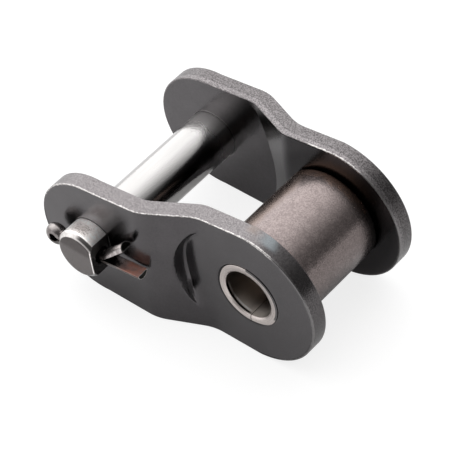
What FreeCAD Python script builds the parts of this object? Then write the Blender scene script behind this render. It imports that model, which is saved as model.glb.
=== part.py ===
import FreeCAD, Part
import math
import os
import Sketcher
from FreeCAD import Vector

# Offset chain link, three quarter inch pitch, in millimetres.
# The origin is the middle of the bush bore. X runs from the pin towards the bush,
# Y runs along the bush, with the split pin on the minus side, and Z is up.
# The link lies on the rounded ends of its plates, so its pin end dips a little.

SIZES = (
    ("pitch", 19.05, "pin axis to bush axis"),
    ("inner_width", 12.7, "between the plates at the bush end"),
    ("plate_thickness", 2.1, "plate metal"),
    ("crank_offset", 2.6, "step of each plate from its bush end out to its pin end"),
    ("pin_end_radius", 7.45, "rounded end of a plate about the pin"),
    ("bush_end_radius", 8.65, "rounded end of a plate about the bush"),
    ("long_flat", 7.4, "hole axis to the bend line, on the outside of the bend"),
    ("short_flat", 5.75, "hole axis to the bend line, on the inside of the bend"),
    ("bend_radius", 3.4, "rounding of the four bend lines"),
    ("rim_bevel", 0.25, "broken edges of the blanked plates"),
    ("leaf_radius", 8.6, "coined leaf on the outer face, about the bush"),
    ("leaf_depth", 0.35, "leaf floor below the outer face at the foot of its wall"),
    ("leaf_tilt", 8.0, "degrees between the leaf floor and the outer face"),
    ("leaf_foot", 0.3, "slanted corner at the foot of the leaf wall"),
    ("crescent_radius", 9.7, "coined crescent on the inner face, about the pin"),
    ("bush_diameter", 7.9, "outside of the bush"),
    ("bush_bore", 6.0, "hole through the bush"),
    ("bush_proud", 0.05, "bush end beyond the plate face"),
    ("bush_bevel", 0.35, "bevel at each mouth of the bore"),
    ("seam_width", 0.1, "butt seam of the curled bush"),
    ("roller_diameter", 11.6, "outside of the roller"),
    ("roller_clearance", 0.05, "radial running clearance of the roller on the bush"),
    ("roller_end_gap", 0.2, "roller end to plate"),
    ("roller_edge", 0.4, "rounding of the roller edges"),
    ("pin_diameter", 5.94, "link pin"),
    ("pin_tail", 2.9, "pin beyond the outer face of the split pin side plate"),
    ("pin_head", 0.8, "pin beyond the outer face of the other plate"),
    ("pin_bevel", 0.3, "bevel of the pin ends"),
    ("pin_flat", 2.14, "pin axis to the flat that keys the pin in its plate"),
    ("pin_clearance", 0.03, "keyed hole around the pin"),
    ("split_size", 1.6, "split pin diameter with its legs closed"),
    ("leg_gap", 0.06, "between the flats of the two legs"),
    ("eye_bore", 1.6, "hole through the eye"),
    ("eye_reach", 4.8, "pin axis to the middle of the eye"),
    ("neck_radius", 1.0, "curve from the eye into the legs, on the flat side"),
    ("long_leg", 7.55, "pin axis to the tip of the straight leg"),
    ("bend_start", 2.2, "pin axis to where the other leg turns up"),
    ("leg_bend_radius", 1.6, "bend of that leg, on the flat side"),
    ("leg_bend_angle", 41.0, "degrees that the leg is turned up"),
    ("bent_leg", 3.7, "straight length of the leg beyond its bend"),
    ("split_slew", 2.8, "degrees that the split pin lies askew in its hole"),
    ("split_stand", 0.08, "long leg tip to the plate face"),
    ("hole_clearance", 0.03, "round the split pin in its hole"),
    ("stock_margin", 2.0, "metal beyond the outline before blanking"),
)

# Levels across the link, as distances from its middle plane.
NARROW_INNER = "Sizes.inner_width / 2"
NARROW_OUTER = "(Sizes.inner_width / 2 + Sizes.plate_thickness)"
WIDE_INNER = "(Sizes.inner_width / 2 + Sizes.crank_offset)"
WIDE_OUTER = "(Sizes.inner_width / 2 + Sizes.crank_offset + Sizes.plate_thickness)"
BUSH_END = f"({NARROW_OUTER} + Sizes.bush_proud)"
ROLLER_END = "(Sizes.inner_width / 2 - Sizes.roller_end_gap)"
PIN_TIP = f"({WIDE_OUTER} + Sizes.pin_tail)"
PIN_BACK = f"({WIDE_OUTER} + Sizes.pin_head)"
LEG_RADIUS = "Sizes.split_size / 2"
SLEW_REACH = "Sizes.long_leg * tan(Sizes.split_slew)"
SPLIT_LEVEL = f"({WIDE_OUTER} + Sizes.split_stand + {LEG_RADIUS} + {SLEW_REACH})"
SPLIT_HOLE = (
    f"({LEG_RADIUS} + Sizes.leg_gap / 2 + Sizes.pin_diameter / 2 * tan(Sizes.split_slew)"
    " + Sizes.hole_clearance)"
)
REST_TILT = "asin((Sizes.bush_end_radius - Sizes.pin_end_radius) / Sizes.pitch)"
AT_REST = f"placement(vector(0; 0; 0); rotation(vector(0; 1; 0); -{REST_TILT}))"

LINE_START, LINE_END, ARC_CENTRE = 1, 2, 3
ORIGIN_POINT = (-1, 1)
UPRIGHT = math.pi / 2
SAME_PLACE = 0.001

doc = FreeCAD.newDocument("offset_chain_link")
sheet = doc.addObject("Spreadsheet::Sheet", "Sizes")
for row, (alias, size, note) in enumerate(SIZES, start=1):
    sheet.set(f"A{row}", note)
    sheet.set(f"B{row}", str(size))
    sheet.setAlias(f"B{row}", alias)
doc.recompute()


def number(expression):
    """The value of an expression on the sheet's sizes."""
    found = sheet.evalExpression(str(expression))
    return float(getattr(found, "Value", found))


def new_body(label, placement=AT_REST):
    """An empty body that lies as the link rests."""
    body = doc.addObject("PartDesign::Body", label)
    body.Label = label
    body.setExpression("Placement", placement)
    return body


def new_sketch(body, name, plane, offset=None):
    """A sketch on one of the body's own planes, moved along the plane's normal."""
    sketch = body.newObject("Sketcher::SketchObject", name)
    support = next(part for part in body.Origin.OriginFeatures if part.Role == plane)
    sketch.AttachmentSupport = [(support, "")]
    sketch.MapMode = "FlatFace"
    if offset is not None:
        sketch.setExpression("AttachmentOffset", f"placement(vector(0; 0; {offset}); rotation(0; 0; 0))")
    return sketch


def line(sketch, start, end, construction=False):
    """A straight side between two points given as numbers."""
    return sketch.addGeometry(Part.LineSegment(Vector(*start, 0), Vector(*end, 0)), construction)


def arc(sketch, centre, radius, first, last):
    """A counter-clockwise arc given by numbers and by angles in radians."""
    circle = Part.Circle(Vector(*centre, 0), Vector(0, 0, 1), radius)
    return sketch.addGeometry(Part.ArcOfCircle(circle, first, last), False)


def bind(sketch, kind, elements, expression):
    """A dimension of a sketch that follows an expression."""
    value = number(expression)
    if kind == "Angle":
        value = FreeCAD.Units.Quantity(f"{value} deg")
    index = sketch.addConstraint(Sketcher.Constraint(kind, *elements, value))
    sketch.setExpression(f"Constraints[{index}]", str(expression))


def fix_point(sketch, point, across, up):
    """Both coordinates of a sketch point follow expressions."""
    bind(sketch, "DistanceX", (*ORIGIN_POINT, *point), across)
    bind(sketch, "DistanceY", (*ORIGIN_POINT, *point), up)


def polygon(sketch, corners):
    """A closed outline of straight sides through corners given as expressions."""
    points = [(number(across), number(up)) for across, up in corners]
    sides = [line(sketch, start, end) for start, end in zip(points, points[1:] + points[:1])]
    for side, following in zip(sides, sides[1:] + sides[:1]):
        sketch.addConstraint(Sketcher.Constraint("Coincident", side, LINE_END, following, LINE_START))
    for side, (across, up) in zip(sides, corners):
        fix_point(sketch, (side, LINE_START), across, up)


def circle(sketch, across, up, radius):
    """A whole circle whose centre and radius follow expressions."""
    centre = Vector(number(across), number(up), 0)
    ring = sketch.addGeometry(Part.Circle(centre, Vector(0, 0, 1), number(radius)), False)
    fix_point(sketch, (ring, ARC_CENTRE), across, up)
    bind(sketch, "Radius", (ring,), radius)


def add(body, kind, name, profile, **settings):
    """A feature of the body made from a sketch."""
    feature = body.newObject(kind, name)
    feature.Profile = profile
    for setting, value in settings.items():
        setattr(feature, setting, value)
    doc.recompute()
    return feature


def cut_through(body, name, sketch):
    """A pocket through the whole body, both ways from its sketch."""
    return add(body, "PartDesign::Pocket", name, sketch, Type="ThroughAll", SideType="Symmetric")


def turned(body, name, sketch, axis, kind="PartDesign::Revolution"):
    """A full turn of a sketch about one of its axes."""
    return add(body, kind, name, sketch, ReferenceAxis=(sketch, [axis]), Angle=360)


def round_edges(body, name, kind, edges, size_name, expression):
    """Fillet or chamfer the edges that a test picks from the finished shape."""
    doc.recompute()
    base = body.Tip
    picked = [f"Edge{index}" for index, edge in enumerate(base.Shape.Edges, start=1) if edges(edge)]
    feature = body.newObject(kind, name)
    feature.Base = (base, picked)
    feature.setExpression(size_name, expression)
    doc.recompute()
    return feature


def lobes(sketch):
    """The plate's outline: an end round each hole, joined by straight tangent sides."""
    pin, bush = (-number("Sizes.pitch"), 0), (0, 0)
    pin_radius, bush_radius = number("Sizes.pin_end_radius"), number("Sizes.bush_end_radius")
    pin_arc = arc(sketch, pin, pin_radius, UPRIGHT, 3 * UPRIGHT)
    bush_arc = arc(sketch, bush, bush_radius, -UPRIGHT, UPRIGHT)
    lower = line(sketch, (pin[0], -pin_radius), (0, -bush_radius))
    upper = line(sketch, (0, bush_radius), (pin[0], pin_radius))
    for first, second in ((pin_arc, lower), (lower, bush_arc), (bush_arc, upper), (upper, pin_arc)):
        sketch.addConstraint(Sketcher.Constraint("Tangent", first, LINE_END, second, LINE_START))
    fix_point(sketch, (pin_arc, ARC_CENTRE), "-Sizes.pitch", "0")
    fix_point(sketch, (bush_arc, ARC_CENTRE), "0", "0")
    bind(sketch, "Radius", (pin_arc,), "Sizes.pin_end_radius")
    bind(sketch, "Radius", (bush_arc,), "Sizes.bush_end_radius")


def crank(body, side):
    """A strip cranked outwards from its bush end to its pin end."""
    section = new_sketch(body, "crank_section", "XY_Plane")
    pin_end = "-Sizes.pitch - Sizes.pin_end_radius - Sizes.stock_margin"
    bush_end = "Sizes.bush_end_radius + Sizes.stock_margin"
    polygon(section, (
        (pin_end, f"{side} * {WIDE_INNER}"),
        (pin_end, f"{side} * {WIDE_OUTER}"),
        ("-Sizes.pitch + Sizes.long_flat", f"{side} * {WIDE_OUTER}"),
        ("-Sizes.short_flat", f"{side} * {NARROW_OUTER}"),
        (bush_end, f"{side} * {NARROW_OUTER}"),
        (bush_end, f"{side} * {NARROW_INNER}"),
        ("-Sizes.long_flat", f"{side} * {NARROW_INNER}"),
        ("-Sizes.pitch + Sizes.short_flat", f"{side} * {WIDE_INNER}"),
    ))
    strip = add(body, "PartDesign::Pad", "cranked_strip", section, SideType="Symmetric")
    strip.setExpression("Length", "2 * (Sizes.bush_end_radius + Sizes.stock_margin)")
    knees = [
        (number("-Sizes.pitch + Sizes.long_flat"), side * number(WIDE_OUTER)),
        (number("-Sizes.short_flat"), side * number(NARROW_OUTER)),
        (number("-Sizes.long_flat"), side * number(NARROW_INNER)),
        (number("-Sizes.pitch + Sizes.short_flat"), side * number(WIDE_INNER)),
    ]

    def is_knee(edge):
        """Whether an upright edge stands on one of the four bend lines."""
        box = edge.BoundBox
        stands = box.ZLength > number("Sizes.bush_end_radius")
        return stands and any(
            math.hypot(box.Center.x - across, box.Center.y - level) < SAME_PLACE
            for across, level in knees
        )

    round_edges(body, "bends", "PartDesign::Fillet", is_knee, "Radius", "Sizes.bend_radius")


def blank(body):
    """Cut the strip to the plate's outline and break its edges."""
    outline = new_sketch(body, "outline", "XZ_Plane")
    left = "-(Sizes.pitch + Sizes.pin_end_radius + 2 * Sizes.stock_margin)"
    height = "(Sizes.bush_end_radius + 2 * Sizes.stock_margin)"
    polygon(outline, ((left, f"-{height}"), (height, f"-{height}"), (height, height), (left, height)))
    lobes(outline)
    cut_through(body, "blanking", outline)

    def is_rim(edge):
        """Whether an edge runs along the rim, and not straight across it or along a bend."""
        box = edge.BoundBox
        across = box.XLength < SAME_PLACE
        return not across

    round_edges(body, "rim", "PartDesign::Chamfer", is_rim, "Size", "Sizes.rim_bevel")


def coin(body, side):
    """Press the leaf into the outer face and the crescent into the inner face."""
    leaf = new_sketch(body, "leaf_section", "XY_Plane")
    sunk = f"({NARROW_OUTER} - Sizes.leaf_depth)"
    depth = "(Sizes.crank_offset + Sizes.plate_thickness)"
    lean, rise = "sin(Sizes.leaf_tilt)", "cos(Sizes.leaf_tilt)"

    def in_leaf(out, deep):
        """A point of the tool, from its axis outwards and from its face upwards."""
        across = f"-Sizes.leaf_radius + (Sizes.leaf_radius - {out}) * {rise} - {deep} * {lean}"
        level = f"{side} * ({sunk} + (Sizes.leaf_radius - {out}) * {lean} + {deep} * {rise})"
        return across, level

    foot = "Sizes.leaf_foot"
    polygon(leaf, (
        in_leaf("0", "0"),
        in_leaf(f"(Sizes.leaf_radius - {foot})", "0"),
        in_leaf("Sizes.leaf_radius", foot),
        in_leaf("Sizes.leaf_radius", depth),
        in_leaf("0", depth),
    ))
    tool_axis = line(leaf, [number(part) for part in in_leaf("0", "0")],
                     [number(part) for part in in_leaf("0", depth)], construction=True)
    fix_point(leaf, (tool_axis, LINE_START), *in_leaf("0", "0"))
    fix_point(leaf, (tool_axis, LINE_END), *in_leaf("0", depth))
    turned(body, "leaf", leaf, "Axis0", "PartDesign::Groove")

    crescent = new_sketch(body, "crescent_section", "XY_Plane")
    axis, wall = "-Sizes.pitch", "-Sizes.pitch + Sizes.crescent_radius"
    polygon(crescent, (
        (axis, "0"),
        (wall, "0"),
        (wall, f"{side} * {WIDE_INNER}"),
        (axis, f"{side} * {WIDE_INNER}"),
    ))
    pin_axis = line(crescent, (number(axis), 0), (number(axis), side * number(WIDE_INNER)), True)
    fix_point(crescent, (pin_axis, LINE_START), axis, "0")
    fix_point(crescent, (pin_axis, LINE_END), axis, f"{side} * {WIDE_INNER}")
    turned(body, "crescent", crescent, "Axis0", "PartDesign::Groove")


def keyed_hole(sketch):
    """The pin's round hole with a flat that stops it turning."""
    radius = "Sizes.pin_diameter / 2 + Sizes.pin_clearance"
    flat = "-Sizes.pitch + Sizes.pin_flat + Sizes.pin_clearance"
    centre = (number("-Sizes.pitch"), 0)
    half = math.acos(number("Sizes.pin_flat + Sizes.pin_clearance") / number(radius))
    height = number(radius) * math.sin(half)
    curve = arc(sketch, centre, number(radius), half, 2 * math.pi - half)
    chord = line(sketch, (number(flat), -height), (number(flat), height))
    sketch.addConstraint(Sketcher.Constraint("Coincident", curve, LINE_END, chord, LINE_START))
    sketch.addConstraint(Sketcher.Constraint("Coincident", chord, LINE_END, curve, LINE_START))
    sketch.addConstraint(Sketcher.Constraint("Vertical", chord))
    fix_point(sketch, (curve, ARC_CENTRE), "-Sizes.pitch", "0")
    bind(sketch, "Radius", (curve,), radius)
    bind(sketch, "DistanceX", (*ORIGIN_POINT, chord, LINE_START), flat)


def make_plate(label, side, keyed):
    """A cranked side plate. The side is -1 or 1, and one plate is keyed to the pin."""
    body = new_body(label)
    crank(body, side)
    blank(body)
    coin(body, side)
    holes = new_sketch(body, "holes", "XZ_Plane")
    circle(holes, "0", "0", "Sizes.bush_diameter / 2")
    if keyed:
        keyed_hole(holes)
    else:
        circle(holes, "-Sizes.pitch", "0", "Sizes.pin_diameter / 2")
    cut_through(body, "holes_cut", holes)
    return body


def make_bush():
    """A bush curled from strip, with its butt seam at the bottom."""
    body = new_body("bush")
    wall = new_sketch(body, "wall", "XY_Plane")
    bore, outside = "Sizes.bush_bore / 2", "Sizes.bush_diameter / 2"
    bevel = "Sizes.bush_bevel"
    polygon(wall, (
        (outside, f"-{BUSH_END}"),
        (outside, BUSH_END),
        (f"{bore} + {bevel}", BUSH_END),
        (bore, f"{BUSH_END} - {bevel}"),
        (bore, f"-({BUSH_END} - {bevel})"),
        (f"{bore} + {bevel}", f"-{BUSH_END}"),
    ))
    turned(body, "curl", wall, "V_Axis")
    seam = new_sketch(body, "seam_outline", "XZ_Plane")
    half = "Sizes.seam_width / 2"
    polygon(seam, (
        (f"-{half}", "-Sizes.bush_diameter"),
        (half, "-Sizes.bush_diameter"),
        (half, "-Sizes.bush_bore / 4"),
        (f"-{half}", "-Sizes.bush_bore / 4"),
    ))
    cut_through(body, "seam", seam)
    return body


def make_roller():
    """A plain roller that runs on the bush."""
    body = new_body("roller")
    wall = new_sketch(body, "wall", "XY_Plane")
    bore, outside = "Sizes.bush_diameter / 2 + Sizes.roller_clearance", "Sizes.roller_diameter / 2"
    polygon(wall, (
        (outside, f"-{ROLLER_END}"),
        (outside, ROLLER_END),
        (bore, ROLLER_END),
        (bore, f"-{ROLLER_END}"),
    ))
    turned(body, "tube", wall, "V_Axis")

    def is_outer_edge(edge):
        """Whether an edge is one of the two outer circles."""
        box = edge.BoundBox
        is_flat = box.YLength < SAME_PLACE
        return is_flat and box.XLength > number("Sizes.roller_diameter") - SAME_PLACE

    round_edges(body, "edges", "PartDesign::Fillet", is_outer_edge, "Radius", "Sizes.roller_edge")
    return body


def make_pin():
    """The link pin: pressed in at one end, flatted and cross drilled at the other."""
    body = new_body("pin")
    section = new_sketch(body, "section", "XY_Plane")
    axis, skin = "-Sizes.pitch", "-Sizes.pitch + Sizes.pin_diameter / 2"
    bevel = "Sizes.pin_bevel"
    polygon(section, (
        (axis, f"-{PIN_TIP}"),
        (f"{skin} - {bevel}", f"-{PIN_TIP}"),
        (skin, f"-({PIN_TIP} - {bevel})"),
        (skin, f"{PIN_BACK} - {bevel}"),
        (f"{skin} - {bevel}", PIN_BACK),
        (axis, PIN_BACK),
    ))
    centre = line(section, (number(axis), -number(PIN_TIP)), (number(axis), number(PIN_BACK)), True)
    fix_point(section, (centre, LINE_START), axis, f"-{PIN_TIP}")
    fix_point(section, (centre, LINE_END), axis, PIN_BACK)
    turned(body, "shank", section, "Axis0")
    flat = new_sketch(body, "flat_outline", "XY_Plane")
    beyond = "Sizes.stock_margin"
    polygon(flat, (
        ("-Sizes.pitch + Sizes.pin_flat", f"-({PIN_TIP} + {beyond})"),
        ("-Sizes.pitch + Sizes.pin_diameter", f"-({PIN_TIP} + {beyond})"),
        ("-Sizes.pitch + Sizes.pin_diameter", f"-({WIDE_INNER} - Sizes.pin_clearance)"),
        ("-Sizes.pitch + Sizes.pin_flat", f"-({WIDE_INNER} - Sizes.pin_clearance)"),
    ))
    cut_through(body, "flat", flat)
    drilling = new_sketch(body, "drilling", "YZ_Plane")
    circle(drilling, f"-{SPLIT_LEVEL}", "0", SPLIT_HOLE)
    cut_through(body, "split_pin_hole", drilling)
    return body


def split_pin_route(body):
    """The wire's flat side: along one leg, round the eye and back along the bent leg."""
    route = new_sketch(body, "route", "XZ_Plane")
    gap, neck, eye = number("Sizes.leg_gap / 2"), number("Sizes.neck_radius"), number("Sizes.eye_bore / 2")
    eye_x = -number("Sizes.eye_reach")
    swing = math.asin((gap + neck) / (eye + neck))
    neck_x = eye_x + (eye + neck) * math.cos(swing)
    turn = math.radians(number("Sizes.leg_bend_angle"))
    bend_x, bend = number("Sizes.bend_start"), number("Sizes.leg_bend_radius")
    bend_end = (bend_x + bend * math.sin(turn), gap + bend * (1 - math.cos(turn)))
    reach = number("Sizes.bent_leg")
    tip = (bend_end[0] + reach * math.cos(turn), bend_end[1] + reach * math.sin(turn))
    straight = line(route, (number("Sizes.long_leg"), -gap), (neck_x, -gap))
    lower_neck = arc(route, (neck_x, -gap - neck), neck, UPRIGHT, 2 * UPRIGHT - swing)
    loop = arc(route, (eye_x, 0), eye, swing, 4 * UPRIGHT - swing)
    upper_neck = arc(route, (neck_x, gap + neck), neck, 2 * UPRIGHT + swing, 3 * UPRIGHT)
    upper = line(route, (neck_x, gap), (bend_x, gap))
    knee = arc(route, (bend_x, gap + bend), bend, 3 * UPRIGHT, 3 * UPRIGHT + turn)
    bent = line(route, bend_end, tip)
    joins = (
        (straight, LINE_END, lower_neck, LINE_START),
        (lower_neck, LINE_END, loop, LINE_END),
        (loop, LINE_START, upper_neck, LINE_START),
        (upper_neck, LINE_END, upper, LINE_START),
        (upper, LINE_END, knee, LINE_START),
        (knee, LINE_END, bent, LINE_START),
    )
    for join in joins:
        route.addConstraint(Sketcher.Constraint("Tangent", *join))
    route.addConstraint(Sketcher.Constraint("Horizontal", straight))
    route.addConstraint(Sketcher.Constraint("Horizontal", upper))
    fix_point(route, (straight, LINE_START), "Sizes.long_leg", "-Sizes.leg_gap / 2")
    fix_point(route, (loop, ARC_CENTRE), "-Sizes.eye_reach", "0")
    bind(route, "Radius", (lower_neck,), "Sizes.neck_radius")
    bind(route, "Radius", (loop,), "Sizes.eye_bore / 2")
    bind(route, "Radius", (upper_neck,), "Sizes.neck_radius")
    fix_point(route, (upper, LINE_END), "Sizes.bend_start", "Sizes.leg_gap / 2")
    bind(route, "Radius", (knee,), "Sizes.leg_bend_radius")
    bind(route, "Angle", (upper, LINE_START, bent, LINE_START), "Sizes.leg_bend_angle")
    bind(route, "Distance", (bent,), "Sizes.bent_leg")
    return route


def make_split_pin():
    """A split pin folded from half round wire, one leg left straight and one turned up."""
    slewed = f"placement(vector(-Sizes.pitch; -{SPLIT_LEVEL}; 0); rotation(vector(0; 0; 1); Sizes.split_slew))"
    body = new_body("cotter_pin", f"{AT_REST} * {slewed}")
    route = split_pin_route(body)
    half_round = new_sketch(body, "half_round", "YZ_Plane", "Sizes.long_leg")
    low = "-Sizes.leg_gap / 2"
    radius = number(LEG_RADIUS)
    bow = arc(half_round, (0, number(low)), radius, 2 * UPRIGHT, 4 * UPRIGHT)
    flat = line(half_round, (radius, number(low)), (-radius, number(low)))
    half_round.addConstraint(Sketcher.Constraint("Coincident", bow, LINE_END, flat, LINE_START))
    half_round.addConstraint(Sketcher.Constraint("Coincident", flat, LINE_END, bow, LINE_START))
    half_round.addConstraint(Sketcher.Constraint("Horizontal", flat))
    half_round.addConstraint(Sketcher.Constraint("PointOnObject", bow, ARC_CENTRE, flat))
    fix_point(half_round, (bow, ARC_CENTRE), "0", low)
    bind(half_round, "Radius", (bow,), LEG_RADIUS)
    wire = body.newObject("PartDesign::AdditivePipe", "wire")
    wire.Profile = half_round
    wire.Spine = route
    doc.recompute()
    return body


parts = [
    make_plate("cotter_side_plate", -1, keyed=True),
    make_plate("head_side_plate", 1, keyed=False),
    make_bush(),
    make_roller(),
    make_pin(),
    make_split_pin(),
]
doc.recompute()

for item in doc.Objects:
    if "Invalid" in item.State or "Error" in item.State:
        raise RuntimeError(f"{item.Label} failed: {item.State}")
for sketch in doc.findObjects("Sketcher::SketchObject"):
    if not sketch.FullyConstrained:
        raise RuntimeError(f"{sketch.Label} is not fully constrained")
for part in parts:
    if part.Shape.isNull() or not part.Shape.isValid() or len(part.Shape.Solids) != 1:
        raise RuntimeError(f"{part.Label} is not one valid solid")

os.makedirs("parts", exist_ok=True)
for part in parts:
    part.Shape.exportStep(f"parts/{part.Label}.step")
    print(part.Label, round(part.Shape.Volume, 3))
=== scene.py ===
"""Offset chain link of three quarter inch pitch: its surfaces, finishes, light and camera.

Lengths in the classes are millimetres. The link is worked out in its own frame, with the
bush axis at the origin, the pin towards minus X and the split pin towards minus Y, and is
then tipped by the small angle at which it rests on the rounded ends of its plates.
"""
import logging
import math
from abc import ABC, abstractmethod
from contextlib import contextmanager
from dataclasses import dataclass
from enum import Enum
from typing import Callable, Iterator

import bmesh
import bpy
import numpy as np
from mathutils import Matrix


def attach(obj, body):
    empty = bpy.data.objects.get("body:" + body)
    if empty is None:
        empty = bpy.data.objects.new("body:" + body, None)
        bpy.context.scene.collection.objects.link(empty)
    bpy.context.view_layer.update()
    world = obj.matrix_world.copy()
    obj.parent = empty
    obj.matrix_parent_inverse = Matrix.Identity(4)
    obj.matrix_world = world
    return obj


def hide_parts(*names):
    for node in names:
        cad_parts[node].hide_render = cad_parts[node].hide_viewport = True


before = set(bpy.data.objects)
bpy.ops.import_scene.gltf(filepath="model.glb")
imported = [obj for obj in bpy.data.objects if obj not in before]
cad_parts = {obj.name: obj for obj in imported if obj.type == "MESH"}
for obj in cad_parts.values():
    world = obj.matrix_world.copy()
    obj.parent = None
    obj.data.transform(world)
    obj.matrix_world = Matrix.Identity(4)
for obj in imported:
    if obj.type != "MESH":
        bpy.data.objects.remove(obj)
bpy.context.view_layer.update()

LOG = logging.getLogger("offset_chain_link")
MM = 0.001
TURN = 2 * math.pi
QUARTER = TURN / 4
# Points closer than this many metres count as one.
MERGED = 2e-7

Colour = tuple[float, float, float]
Vector = tuple[float, float, float]
# Where a finish changes: a span is the start and end of a ramp, which may lie either way
# round, a spot is a centre with its reach and core, and a band has a ramp at both its ends.
Span = tuple[float, float]
Spot = tuple[float, float, float]
Band = tuple[float, float, float, float]


class Side(Enum):
    """Which side plate, as the sign of its place along the bush."""

    COTTER = -1
    HEAD = 1


@dataclass(frozen=True)
class Sizes:
    """Sizes that more than one piece needs, as in the part's source."""

    pitch: float = 19.05
    inner_width: float = 12.7
    plate_thickness: float = 2.1
    crank_offset: float = 2.6
    pin_end_radius: float = 7.45
    bush_end_radius: float = 8.65
    bush_diameter: float = 7.9
    pin_diameter: float = 5.94
    pin_flat: float = 2.14
    pin_tail: float = 2.9
    pin_head: float = 0.8
    pin_clearance: float = 0.03
    split_size: float = 1.6
    long_leg: float = 7.55
    split_slew: float = math.radians(2.8)
    split_stand: float = 0.08

    @property
    def narrow_inner(self) -> float:
        """Inner face of a plate round the bush."""
        return self.inner_width / 2

    @property
    def narrow_outer(self) -> float:
        """Outer face of a plate round the bush."""
        return self.narrow_inner + self.plate_thickness

    @property
    def wide_inner(self) -> float:
        """Inner face of a plate round the pin."""
        return self.narrow_inner + self.crank_offset

    @property
    def wide_outer(self) -> float:
        """Outer face of a plate round the pin."""
        return self.narrow_outer + self.crank_offset

    @property
    def pin_tip(self) -> float:
        """How far the pin's drilled end lies from the middle of the link."""
        return self.wide_outer + self.pin_tail

    @property
    def pin_back(self) -> float:
        """How far the pin's pressed end lies from the middle of the link."""
        return self.wide_outer + self.pin_head

    @property
    def taper(self) -> float:
        """Angle of a plate's straight sides, which is also how far the resting link tips."""
        return math.asin((self.bush_end_radius - self.pin_end_radius) / self.pitch)

    @property
    def split_level(self) -> float:
        """Distance of the split pin's hole from the middle of the link."""
        slewed = self.long_leg * math.tan(self.split_slew)
        return self.wide_outer + self.split_stand + self.split_size / 2 + slewed


SIZES = Sizes()


def turned(points: np.ndarray, angle: float, first: int, second: int) -> np.ndarray:
    """Turn points by an angle in the plane of two of their axes.

    Args:
        points: an array whose last axis holds x, y and z.
        angle: the angle in radians, from the first axis towards the second.
        first: number of the first axis.
        second: number of the second axis.

    Returns:
        The turned points.
    """
    result = points.copy()
    across, along = points[..., first], points[..., second]
    result[..., first] = across * math.cos(angle) - along * math.sin(angle)
    result[..., second] = across * math.sin(angle) + along * math.cos(angle)
    return result


def smooth_step(values: np.ndarray, start: float, end: float) -> np.ndarray:
    """Three t squared less two t cubed, where t goes from 0 at start to 1 at end."""
    t = np.clip((values - start) / (end - start), 0.0, 1.0)
    return t * t * (3 - 2 * t)


def steps(*runs: tuple[float, float, int]) -> np.ndarray:
    """Evenly divided runs, each a start, an end and a number of cells, end to end."""
    parts = [np.linspace(start, end, cells, endpoint=False) for start, end, cells in runs]
    return np.concatenate([*parts, [runs[-1][1]]])


def compass(angles: np.ndarray) -> np.ndarray:
    """Directions at angles, each as its cosine and its sine."""
    return np.stack([np.cos(angles), np.sin(angles)], 1)


def corner(across: float, along: float, radius: float, start: float, cells: int = 6) -> np.ndarray:
    """A rounded corner of a profile: a quarter circle.

    Args:
        across: first coordinate of its centre.
        along: second coordinate of its centre.
        radius: its radius.
        start: the angle at which it starts, in quarter turns.
        cells: how many sides it has.

    Returns:
        Its points.
    """
    angles = (start + np.linspace(0, 1, cells + 1)) * QUARTER
    return (across, along) + radius * compass(angles)


def turned_profile(profile: np.ndarray, angles: np.ndarray, centre: float = 0.0) -> np.ndarray:
    """Carry a profile round an axis along Y.

    A point at radius r and level y goes to x = centre + r cos a and z = r sin a.

    Args:
        profile: radius and level of each of its points.
        angles: the angles that it is carried to.
        centre: x of the axis.

    Returns:
        A grid with a row for each profile point and a column for each angle.
    """
    radius, level = profile[:, :1], profile[:, 1:]
    flat = np.ones_like(angles)
    return np.stack([centre + radius * np.cos(angles), level * flat, radius * np.sin(angles)], -1)


def linked(name: str, data: bpy.types.ID) -> bpy.types.Object:
    """Put an object into the scene.

    Args:
        name: its name.
        data: its mesh or camera.

    Returns:
        The object.
    """
    item = bpy.data.objects.new(name, data)
    bpy.context.scene.collection.objects.link(item)
    return item


@contextmanager
def opened(mesh: bpy.types.Mesh) -> Iterator[bmesh.types.BMesh]:
    """Open a mesh for an edit, and write it back when the edit is done.

    Args:
        mesh: the mesh.

    Yields:
        Its editable copy.
    """
    shape = bmesh.new()
    shape.from_mesh(mesh)
    yield shape
    shape.to_mesh(mesh)
    shape.free()


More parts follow.
